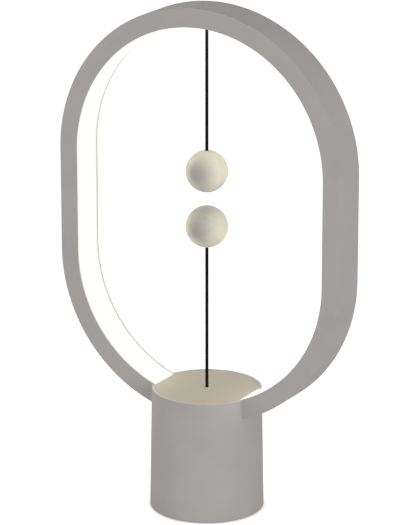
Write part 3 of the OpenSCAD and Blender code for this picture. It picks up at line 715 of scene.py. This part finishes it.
# %% Sizes inside a ball
BORE_R = 4.1 * MM
PLUG_R = 4.05 * MM
FAR_WALL = 3 * MM
MAGNET_L = 8 * MM
MAGNET_PLAY = 0.1 * MM
CORD_HOLE_R = CORD_R + 0.25 * MM
KNOT_ROOM_R = 2.6 * MM
KNOT_PLAY = 0.6 * MM
bore_floor = FAR_WALL - BALL_R
plug_floor = bore_floor + MAGNET_L + MAGNET_PLAY
knot_room_top = plug_floor + 2 * KNOT_R + KNOT_PLAY
print(f"bore {(BALL_R - bore_floor) * 1000:.1f} mm deep, plug {(BALL_R - plug_floor) * 1000:.1f} mm long")


# %% Outlines of ball and plug
FAR_STEPS, NEAR_STEPS, PLUG_STEPS = 32, 30, 6
SEAM_ROUND = 0.12 * MM


def ball_arc(from_r, to_r, low_side, count):
    """Points on the ball's outline, from one distance off the axis to another."""
    angle_a, angle_b = math.asin(from_r / BALL_R), math.asin(to_r / BALL_R)
    points = []
    for i in range(count + 1):
        angle = angle_a + (angle_b - angle_a) * i / count
        points.append((BALL_R * math.sin(angle), BALL_R * math.cos(angle) * (-1 if low_side else 1)))
    return points


def turned_ball(name, centre_z, up):
    """A bored ball. up is 1 where the cord goes in at the top, and -1 where it goes in from below."""
    by_equator = BALL_R * 0.9999999
    # Both arcs stop just short of the equator, and its one point joins them.
    points = ball_arc(0, by_equator, True, FAR_STEPS)[:-1] + [(BALL_R, 0)]
    points += ball_arc(by_equator, BORE_R, False, NEAR_STEPS)[1:]
    rim = len(points) - 1
    points += [(BORE_R, bore_floor), (0, bore_floor)]
    bm = turned(points, {rim: SEAM_ROUND}, steps=96, closed=False)
    return place_on_cord(name, bm, centre_z, up)


def turned_plug(name, centre_z, up):
    """The plug over the magnet, with the cord's hole and the room for its knot."""
    points = ball_arc(CORD_HOLE_R, PLUG_R, False, PLUG_STEPS)
    points += [(PLUG_R, plug_floor), (KNOT_ROOM_R, plug_floor), (KNOT_ROOM_R, knot_room_top),
               (CORD_HOLE_R, knot_room_top)]
    bm = turned(points, {0: 0.3 * MM, PLUG_STEPS: SEAM_ROUND}, steps=64)
    return place_on_cord(name, bm, centre_z, up)


def place_on_cord(name, bm, centre_z, up):
    """Turns a part the right way up, puts it at its height and writes it as a piece."""
    if up < 0:
        bmesh.ops.rotate(bm, verts=bm.verts, cent=(0, 0, 0), matrix=Matrix.Rotation(math.pi, 3, "X"))
    bmesh.ops.translate(bm, verts=bm.verts, vec=(0, 0, centre_z))
    piece = new_piece(name, bm)
    report(piece)
    return piece


# %% Both balls and their plugs
for which, centre_z, up in (("upper", UPPER_BALL_Z, 1), ("lower", LOWER_BALL_Z, -1)):
    for kind, make in (("ball", turned_ball), ("plug", turned_plug)):
        piece = make(f"{which}_wood_{kind}", centre_z, up)
        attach(piece, f"{which}_pendulum")
        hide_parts(f"{which}_{kind}")

# %% [markdown]
# ## Finishes
# A finish could be one plain colour, but moulded plastic has a fine grain that spreads the light, and its
# tone drifts a little over the part. So each finish is a tree of nodes, read at the object's own
# coordinates, that drives colour, roughness and a small bump.

# %% New finishes and who wears them
def rgb(red, green, blue):
    """A colour given as 0 to 255 on screen, as the linear values that nodes use."""
    def linear(value):
        value /= 255
        return value / 12.92 if value <= 0.04045 else ((value + 0.055) / 1.055) ** 2.4
    return (linear(red), linear(green), linear(blue), 1)


def shaded(colour, share):
    """A colour made lighter or darker by a share of itself."""
    return tuple(min(1, value * share) for value in colour[:3]) + (1,)


def new_finish(name):
    """A new material: its node tree, its shader and the object's own coordinates."""
    finish = bpy.data.materials.new(name)
    finish.use_nodes = True
    tree = finish.node_tree
    shader = tree.nodes["Principled BSDF"]
    place = tree.nodes.new("ShaderNodeTexCoord").outputs["Object"]
    return finish, tree, shader, place


def dress(names, finish):
    """Gives pieces or CAD nodes their finish."""
    for name in names:
        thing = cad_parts.get(name) or bpy.data.objects[name]
        thing.data.materials.clear()
        thing.data.materials.append(finish)


# %% [markdown]
# ## Patterns
# The unevenness of a surface could be painted, but a pattern made of nodes has no seams and no pixels.
# Noise is the seed of nearly all of it: a ramp turns it into colours, a range into roughness, and a bump
# tilts the surface with it.

# %% Node blocks for patterns
NOISE_LOW, NOISE_HIGH = 0.3, 0.7


def feed(tree, node, values):
    """Fills a node's inputs, by name or number, with plain values or with what other nodes put out."""
    for name, value in values.items():
        if isinstance(value, bpy.types.NodeSocket):
            tree.links.new(value, node.inputs[name])
        else:
            node.inputs[name].default_value = value


def stretched(tree, place, scale, shift=(0, 0, 0), turn=(0, 0, 0)):
    """Coordinates stretched, shifted or turned, for a pattern with a direction or a middle."""
    node = tree.nodes.new("ShaderNodeMapping")
    feed(tree, node, {"Vector": place, "Scale": scale, "Location": shift, "Rotation": turn})
    return node.outputs["Vector"]


def noise(tree, place, size, detail=3, roughness=0.55, distortion=0.0):
    """Noise whose blotches are about that size, in metres."""
    node = tree.nodes.new("ShaderNodeTexNoise")
    feed(tree, node, {"Vector": place, "Scale": 1 / size, "Detail": detail, "Roughness": roughness,
                      "Distortion": distortion})
    return node.outputs["Fac"]


def ramp(tree, factor, stops):
    """Colours along a factor: stops are (position, colour)."""
    node = tree.nodes.new("ShaderNodeValToRGB")
    bands = node.color_ramp.elements
    while len(bands) < len(stops):
        bands.new(0.5)
    for band, (position, colour) in zip(bands, stops):
        band.position = position
        band.color = colour
    feed(tree, node, {"Fac": factor})
    return node.outputs["Color"]


def two_tone(tree, factor, low, high):
    """The colour low where noise is weak, and the colour high where it is strong."""
    return ramp(tree, factor, [(NOISE_LOW, low), (NOISE_HIGH, high)])


def spread(tree, factor, low, high, from_low=NOISE_LOW, from_high=NOISE_HIGH):
    """A factor carried over to another range."""
    node = tree.nodes.new("ShaderNodeMapRange")
    feed(tree, node, {"Value": factor, "From Min": from_low, "From Max": from_high, "To Min": low,
                      "To Max": high})
    return node.outputs["Result"]


def bump(tree, shader, height, depth, strength=1.0):
    """Lets a height pattern tilt the surface: depth is in metres."""
    node = tree.nodes.new("ShaderNodeBump")
    feed(tree, node, {"Height": height, "Distance": depth, "Strength": strength})
    feed(tree, shader, {"Normal": node.outputs["Normal"]})


# %% Node blocks that work something out
def sum_up(tree, operation, a, b):
    """One sum of two factors, or of a factor and a number."""
    node = tree.nodes.new("ShaderNodeMath")
    node.operation = operation
    feed(tree, node, {0: a, 1: b})
    return node.outputs["Value"]


def weighed(tree, a, share_a, b, share_b):
    """Two factors added up by their shares."""
    return sum_up(tree, "ADD", sum_up(tree, "MULTIPLY", a, share_a), sum_up(tree, "MULTIPLY", b, share_b))


def length_of(tree, vector):
    """How long a vector is, which is how far a point is from the middle."""
    node = tree.nodes.new("ShaderNodeVectorMath")
    node.operation = "LENGTH"
    feed(tree, node, {0: vector})
    return node.outputs["Value"]


def mix(tree, factor, a, b):
    """The colour a where the factor is 0, and the colour b where it is 1."""
    node = tree.nodes.new("ShaderNodeMix")
    node.data_type = "RGBA"
    feed(tree, node, {"Factor": factor, "A": a, "B": b})
    return node.outputs["Result"]


# %% [markdown]
# ## Moulded plastic
# Ring and base are matt grey plastic with a fine spark-eroded grain, much like fine sand. The grain could
# be modelled, but at a third of a millimetre it belongs in the bump. The colour drifts by a few percent
# over some centimetres, as a moulding does where the plastic flowed, and the gloss drifts with it.

# %% Plastic finishes
def moulded(name, colour, gloss, drift=0.05, grain=0.35 * MM, depth=0.07 * MM, flow=38 * MM):
    """Moulded plastic of a colour, with roughness gloss, and a fine grain."""
    finish, tree, shader, place = new_finish(name)
    broad = noise(tree, place, flow, detail=2)
    fine = noise(tree, place, grain, detail=4, roughness=0.6)
    mixed = weighed(tree, broad, 0.75, fine, 0.25)
    tones = two_tone(tree, mixed, shaded(colour, 1 - drift), shaded(colour, 1 + drift))
    feed(tree, shader, {"Base Color": tones, "Roughness": spread(tree, mixed, gloss - 0.06, gloss + 0.06),
                        "Specular IOR Level": 0.35})
    bump(tree, shader, fine, depth)
    return finish


dress(["ring_housing", "ring_back", "base_pot", "cord_eyelet"],
      moulded("ring plastic", rgb(166, 162, 161), 0.62))
# The top disc is the ring's grey plastic in a darker, warmer colour: painted shade plus a painted warm tint
# of the ring's light.
dress(["top_disc"], moulded("top disc plastic with painted shade and warm light", rgb(156, 149, 141), 0.6))
dress(["bottom_cover", "frame_saddle", "switch_housing", "board_parts"],
      moulded("black nylon", rgb(54, 54, 56), 0.55, drift=0.12))
dress(["foot_ring"], moulded("rubber", rgb(38, 38, 38), 0.85, drift=0.15, grain=0.6 * MM, depth=0.05 * MM))
dress(["capacitor"], moulded("capacitor sleeve", rgb(28, 32, 58), 0.35, drift=0.1))
dress(["switch_plunger", "strip_lead"], moulded("ivory plastic", rgb(226, 220, 200), 0.45, drift=0.04))
dress(["led_strip"], moulded("strip lacquer", rgb(236, 236, 232), 0.4, drift=0.03, flow=6 * MM))

# %% [markdown]
# ## Power inlet
# The inlet is black plastic with a bright pin in its socket, and the CAD part holds both. A second
# material would need the mesh split. Instead one finish reads how far a point is from the pin's axis and
# turns to metal inside the pin's radius.

# %% Inlet finish
PIN_R = 1.3 * MM


def inlet_finish():
    """Black plastic that turns to bright metal along the pin's axis."""
    finish, tree, shader, place = new_finish("inlet plastic and pin")
    from_pin = length_of(tree, stretched(tree, place, (1, 0, 1), shift=(0, 0, -inlet_z)))
    metal = sum_up(tree, "LESS_THAN", from_pin, PIN_R)
    fine = noise(tree, place, 0.4 * MM, detail=3)
    plastic = two_tone(tree, fine, rgb(24, 24, 26), rgb(34, 34, 36))
    feed(tree, shader, {"Base Color": mix(tree, metal, plastic, rgb(205, 200, 190)), "Metallic": metal,
                        "Roughness": spread(tree, fine, 0.3, 0.45)})
    bump(tree, shader, fine, 0.01 * MM, 0.5)
    return finish


dress(["power_inlet"], inlet_finish())

# %% [markdown]
# ## Metal
# Screws, the weight, the washer and the magnets are bare or plated metal. What tells them apart is the
# mark that making them left: long fine lines on turned and rolled steel, a nearly even shine on nickel.
# The lines are noise squeezed in one direction, and they drive both the roughness and a slight bump.

# %% Metal finishes
def metal(name, colour, gloss, lines=(1, 1, 1), size=0.5 * MM, tarnish=0.08, depth=0.006 * MM):
    """A metal of a colour and roughness, with marks stretched along one direction."""
    finish, tree, shader, place = new_finish(name)
    marks = noise(tree, stretched(tree, place, lines), size, detail=4)
    broad = noise(tree, place, 7 * MM, detail=2)
    tones = two_tone(tree, broad, shaded(colour, 1 - tarnish), shaded(colour, 1 + tarnish / 2))
    feed(tree, shader, {"Base Color": tones, "Metallic": 1,
                        "Roughness": spread(tree, marks, gloss - 0.07, gloss + 0.07)})
    bump(tree, shader, marks, depth, 0.5)
    return finish


dress(["frame_screws", "saddle_screws", "top_screws", "cover_screws", "weight_screw", "board_screws",
       "string_washer"], metal("screw steel", rgb(178, 178, 182), 0.3, lines=(1, 1, 0.2)))
dress(["counterweight"], metal("turned steel", rgb(150, 150, 154), 0.4, lines=(1, 1, 12), size=0.8 * MM))
dress(["switch_spring"], metal("spring wire", rgb(170, 170, 172), 0.28, lines=(0.3, 0.3, 1)))
dress(["upper_magnet", "lower_magnet"], metal("nickel plating", rgb(214, 208, 196), 0.18, size=0.3 * MM,
                                              tarnish=0.04, depth=0.002 * MM))
dress(["switch_contacts"], metal("contact brass", rgb(206, 168, 92), 0.3, lines=(0.2, 1, 1), tarnish=0.12))

# %% [markdown]
# ## Circuit board
# The board is green lacquer over copper tracks, which show through as paler lines with square corners.
# Drawing each track would be long work for a part inside the base, so a brick pattern read at a slant
# gives lines of one width.

# %% Circuit board finish
TRACK_TILE = 14 * MM


def board_finish():
    """Green lacquer over a pattern of tracks."""
    finish, tree, shader, place = new_finish("board lacquer")
    tracks = tree.nodes.new("ShaderNodeTexBrick")
    feed(tree, tracks, {"Vector": stretched(tree, place, (1, 1, 1), turn=(0, 0, math.radians(45))),
                        "Scale": 1 / TRACK_TILE, "Mortar Size": 0.04, "Mortar Smooth": 0.2,
                        "Color1": rgb(22, 84, 48), "Color2": rgb(26, 92, 54), "Mortar": rgb(58, 128, 74)})
    fine = noise(tree, place, 0.6 * MM, detail=3)
    feed(tree, shader, {"Base Color": tracks.outputs["Color"], "Roughness": spread(tree, fine, 0.22, 0.38)})
    bump(tree, shader, tracks.outputs["Fac"], 0.03 * MM, 0.5)
    return finish


dress(["circuit_board"], board_finish())

# %% [markdown]
# ## Pale wood
# The balls are turned from a close-grained wood with a matt grey-beige stain. Wood is a stack of yearly
# layers, so a ball cut from it shows soft bands, and fine fibres lie along the grain. A picture of wood would
# have to be wrapped round the ball, but noise fills it as grain does: one is broad and bent for the bands,
# one long and thin for the fibres. Stain evens wood out, so its tones lie only a few levels apart.

# %% Wood finish
GRAIN_TURN = (0, math.radians(12), math.radians(24))


def ball_wood():
    """Stained turned wood, its grain running slantwise across the ball."""
    finish, tree, shader, place = new_finish("pale wood")
    layers = stretched(tree, place, (0.16, 1, 1), turn=GRAIN_TURN)
    bands = noise(tree, layers, 6 * MM, detail=2, distortion=0.8)
    along = stretched(tree, place, (0.07, 1, 1), turn=GRAIN_TURN)
    fibres = noise(tree, along, 0.5 * MM, detail=4, roughness=0.6)
    mixed = weighed(tree, bands, 0.6, fibres, 0.4)
    stain = ramp(tree, mixed, [(0.32, rgb(158, 153, 147)), (0.5, rgb(162, 157, 151)),
                               (0.68, rgb(166, 161, 156))])
    feed(tree, shader, {"Base Color": stain, "Roughness": spread(tree, fibres, 0.45, 0.6),
                        "Specular IOR Level": 0.4})
    bump(tree, shader, fibres, 0.02 * MM, 0.5)
    return finish


dress(["upper_wood_ball", "upper_wood_plug", "lower_wood_ball", "lower_wood_plug"], ball_wood())

# %% [markdown]
# ## Black braid
# The cord is dyed polyester: nearly black, matt, with a soft sheen where the yarns turn to the light. Its
# braid is in the mesh, so the finish only adds what is finer: single filaments along the yarns, and a
# slight drift of the dye.

# %% Cord finish
def cord_finish():
    """Black dyed yarn."""
    finish, tree, shader, place = new_finish("black braid")
    filaments = noise(tree, stretched(tree, place, (1, 1, 0.25)), 0.08 * MM, detail=3)
    feed(tree, shader, {"Base Color": two_tone(tree, filaments, rgb(8, 8, 9), rgb(18, 18, 19)),
                        "Roughness": spread(tree, filaments, 0.75, 0.95),
                        "Specular IOR Level": 0.05, "Sheen Weight": 0.01, "Sheen Roughness": 0.5})
    bump(tree, shader, filaments, 0.02 * MM, 0.6)
    return finish


dress(["upper_tail_cord", "upper_turn_cord", "upper_cord", "pull_cord", "lower_turn_cord", "lower_cord"],
      cord_finish())

# %% [markdown]
# ## Diffuser and lights
# The whole inner face of the ring is opal plastic, lit from behind by a strip of small lights. It scatters
# their light so well that the single lights vanish, and only its edges beside the lips are dimmer, most at
# the back, where a thin grey line shows. Light could be sent through it, but that is slow, so the finish
# glows by itself, in a warm white that tints the disc and the balls. To them it is seven times as strong as
# paper white, since their bright sides face the ring. At that strength it would eat into the edges beside
# it in the picture, so camera rays see it just at white.

# %% Diffuser finish
GLOW = 7
WARM = (1.0, 1.0, 0.76, 1)
SEEN_WHITE = (0.80, 0.80, 0.78, 1)
DIM_FRONT = 1 * MM
DIM_BACK = 1.9 * MM


def opal_finish():
    """Lit opal plastic: its light falls off towards the two edges, and the camera sees it just at white."""
    finish, tree, shader, place = new_finish("opal")
    depth = tree.nodes.new("ShaderNodeSeparateXYZ")
    feed(tree, depth, {"Vector": place})
    cloud = noise(tree, place, 9 * MM, detail=1)
    back_lip, front_lip = RING_BACK_Y - LIP_BACK, RING_FRONT_Y + LIP_FRONT
    at_back = spread(tree, depth.outputs["Y"], 1.0, 0.0, back_lip - DIM_BACK, back_lip)
    at_front = spread(tree, depth.outputs["Y"], 0.5, 1.0, front_lip, front_lip + DIM_FRONT)
    edge = sum_up(tree, "ADD", sum_up(tree, "MULTIPLY", at_back, at_front), spread(tree, cloud, -0.05, 0.0))
    given = ramp(tree, edge, [(0.0, shaded(WARM, 0.5)), (1.0, WARM)])
    seen = ramp(tree, edge, [(0.0, shaded(SEEN_WHITE, 0.3 / GLOW)), (1.0, shaded(SEEN_WHITE, 1 / GLOW))])
    camera_ray = tree.nodes.new("ShaderNodeLightPath").outputs["Is Camera Ray"]
    feed(tree, shader, {"Emission Color": mix(tree, camera_ray, given, seen), "Emission Strength": GLOW,
                        "Base Color": rgb(110, 110, 107), "Roughness": spread(tree, cloud, 0.4, 0.5)})
    return finish


def led_finish():
    """White ceramic round a yellow phosphor, lit."""
    finish, tree, shader, place = new_finish("led phosphor")
    grainy = noise(tree, place, 0.3 * MM, detail=2)
    feed(tree, shader, {"Base Color": two_tone(tree, grainy, rgb(236, 205, 96), rgb(246, 222, 130)),
                        "Emission Color": two_tone(tree, grainy, rgb(255, 232, 180), rgb(255, 242, 206)),
                        "Emission Strength": 2, "Roughness": spread(tree, grainy, 0.35, 0.5)})
    return finish


dress(["diffuser"], opal_finish())
dress(["leds"], led_finish())

# %% [markdown]
# ## Floor
# The lamp stands on a plain white floor. It could be made white by more light, but that would wash out the
# lamp. So the floor adds a little white of its own for the camera alone, which fades out under and round the
# base: under it the real shadow is kept, and the fade just beyond its edge is a painted contact shadow. The
# middle of this painted shadow lies a little in front of the lamp's.

# %% White floor
FLOOR_SIZE = 14
FLOOR_WHITE = 0.53
# The painted contact shadow round the base: where its middle lies, and how far in and out it fades.
TO_PAINTED_SHADOW = (-0.5 * MM, 0.9 * MM, 0)
PAINTED_SHADOW_IN = 5 * MM
PAINTED_SHADOW_OUT = 2 * MM


def floor_white():
    """Matt white that shows the camera some white of its own, faded out round the base as a painted contact
    shadow.
    """
    finish, tree, shader, place = new_finish("white floor")
    feed(tree, shader, {"Base Color": (0.93, 0.93, 0.93, 1), "Roughness": 0.9, "Specular IOR Level": 0.1})
    from_middle = length_of(tree, stretched(tree, place, (1, 1, 1), shift=TO_PAINTED_SHADOW))
    # Painted shadow: the floor's own white is left out under the base and fades in a few millimetres beyond
    # it.
    outside_painted_shadow = spread(tree, from_middle, 0, 1, BASE_BOTTOM_R - PAINTED_SHADOW_IN, BASE_BOTTOM_R + PAINTED_SHADOW_OUT)
    camera_ray = tree.nodes.new("ShaderNodeLightPath").outputs["Is Camera Ray"]
    seen = sum_up(tree, "MULTIPLY", camera_ray, FLOOR_WHITE)
    own_white = tree.nodes.new("ShaderNodeEmission")
    feed(tree, own_white, {"Strength": sum_up(tree, "MULTIPLY", seen, outside_painted_shadow)})
    both = tree.nodes.new("ShaderNodeAddShader")
    feed(tree, both, {0: shader.outputs["BSDF"], 1: own_white.outputs["Emission"]})
    feed(tree, tree.nodes["Material Output"], {"Surface": both.outputs["Shader"]})
    return finish


floor_bm = bmesh.new()
bmesh.ops.create_grid(floor_bm, x_segments=1, y_segments=1, size=FLOOR_SIZE)
floor = new_piece("studio_floor", floor_bm, smooth=False)
floor.data.materials.append(floor_white())
print(f"floor {2 * FLOOR_SIZE} m wide, its own white {FLOOR_WHITE}")

# %% [markdown]
# ## World
# The world is white to the camera, in mirrors and through glass. To everything else it is a soft light.
# One even light from all round would be simplest, but the top of the real ring is darker than its sides,
# so this light grows weaker overhead.

# %% Soft light from all round
WORLD_LOW, WORLD_HIGH = 0.81, 0.38
world = bpy.data.worlds.new("studio")
bpy.context.scene.world = world
world.use_nodes = True
world_tree = world.node_tree
sky = world_tree.nodes["Background"]
world_path = world_tree.nodes.new("ShaderNodeLightPath")
shown = world_path.outputs["Is Camera Ray"]
for kind in ("Is Glossy Ray", "Is Transmission Ray"):
    shown = sum_up(world_tree, "MAXIMUM", shown, world_path.outputs[kind])
direction = world_tree.nodes.new("ShaderNodeSeparateXYZ")
feed(world_tree, direction, {"Vector": world_tree.nodes.new("ShaderNodeTexCoord").outputs["Generated"]})
light = spread(world_tree, direction.outputs["Z"], WORLD_LOW, WORLD_HIGH, 0, 1)
feed(world_tree, sky, {"Color": (1, 1, 1, 1), "Strength": sum_up(world_tree, "MAXIMUM", shown, light)})
print(f"world light {WORLD_LOW} at the horizon and {WORLD_HIGH} overhead")

# %% [markdown]
# ## Lamps
# Four large soft lamps stand round the lamp. A single one would leave the far side dark. The strongest is
# on the right and low, which gives the base its soft change from left to right, and the others only fill.

# %% Lamps and the way colours are shown
LIT_POINT = Vector((0, 0, 0.2))


def soft_lamp(name, place, size, power):
    """A large soft lamp that points at the middle of the model."""
    data = bpy.data.lights.new(name, "AREA")
    data.shape = "DISK"
    data.size = size
    data.energy = power
    lamp = bpy.data.objects.new(name, data)
    bpy.context.scene.collection.objects.link(lamp)
    lamp.location = place
    lamp.rotation_mode = "QUATERNION"
    lamp.rotation_quaternion = (LIT_POINT - Vector(place)).to_track_quat("-Z", "Y")


soft_lamp("right_lamp", (2.6, -1.2, 0.3), 1.6, 32)
soft_lamp("front_lamp", (0.2, -3.0, 0.8), 1.8, 10)
soft_lamp("left_lamp", (-2.1, -1.9, 0.8), 1.6, 7)
soft_lamp("back_lamp", (-0.6, 2.8, 0.5), 1.8, 6)

bpy.context.scene.view_settings.view_transform = "Standard"
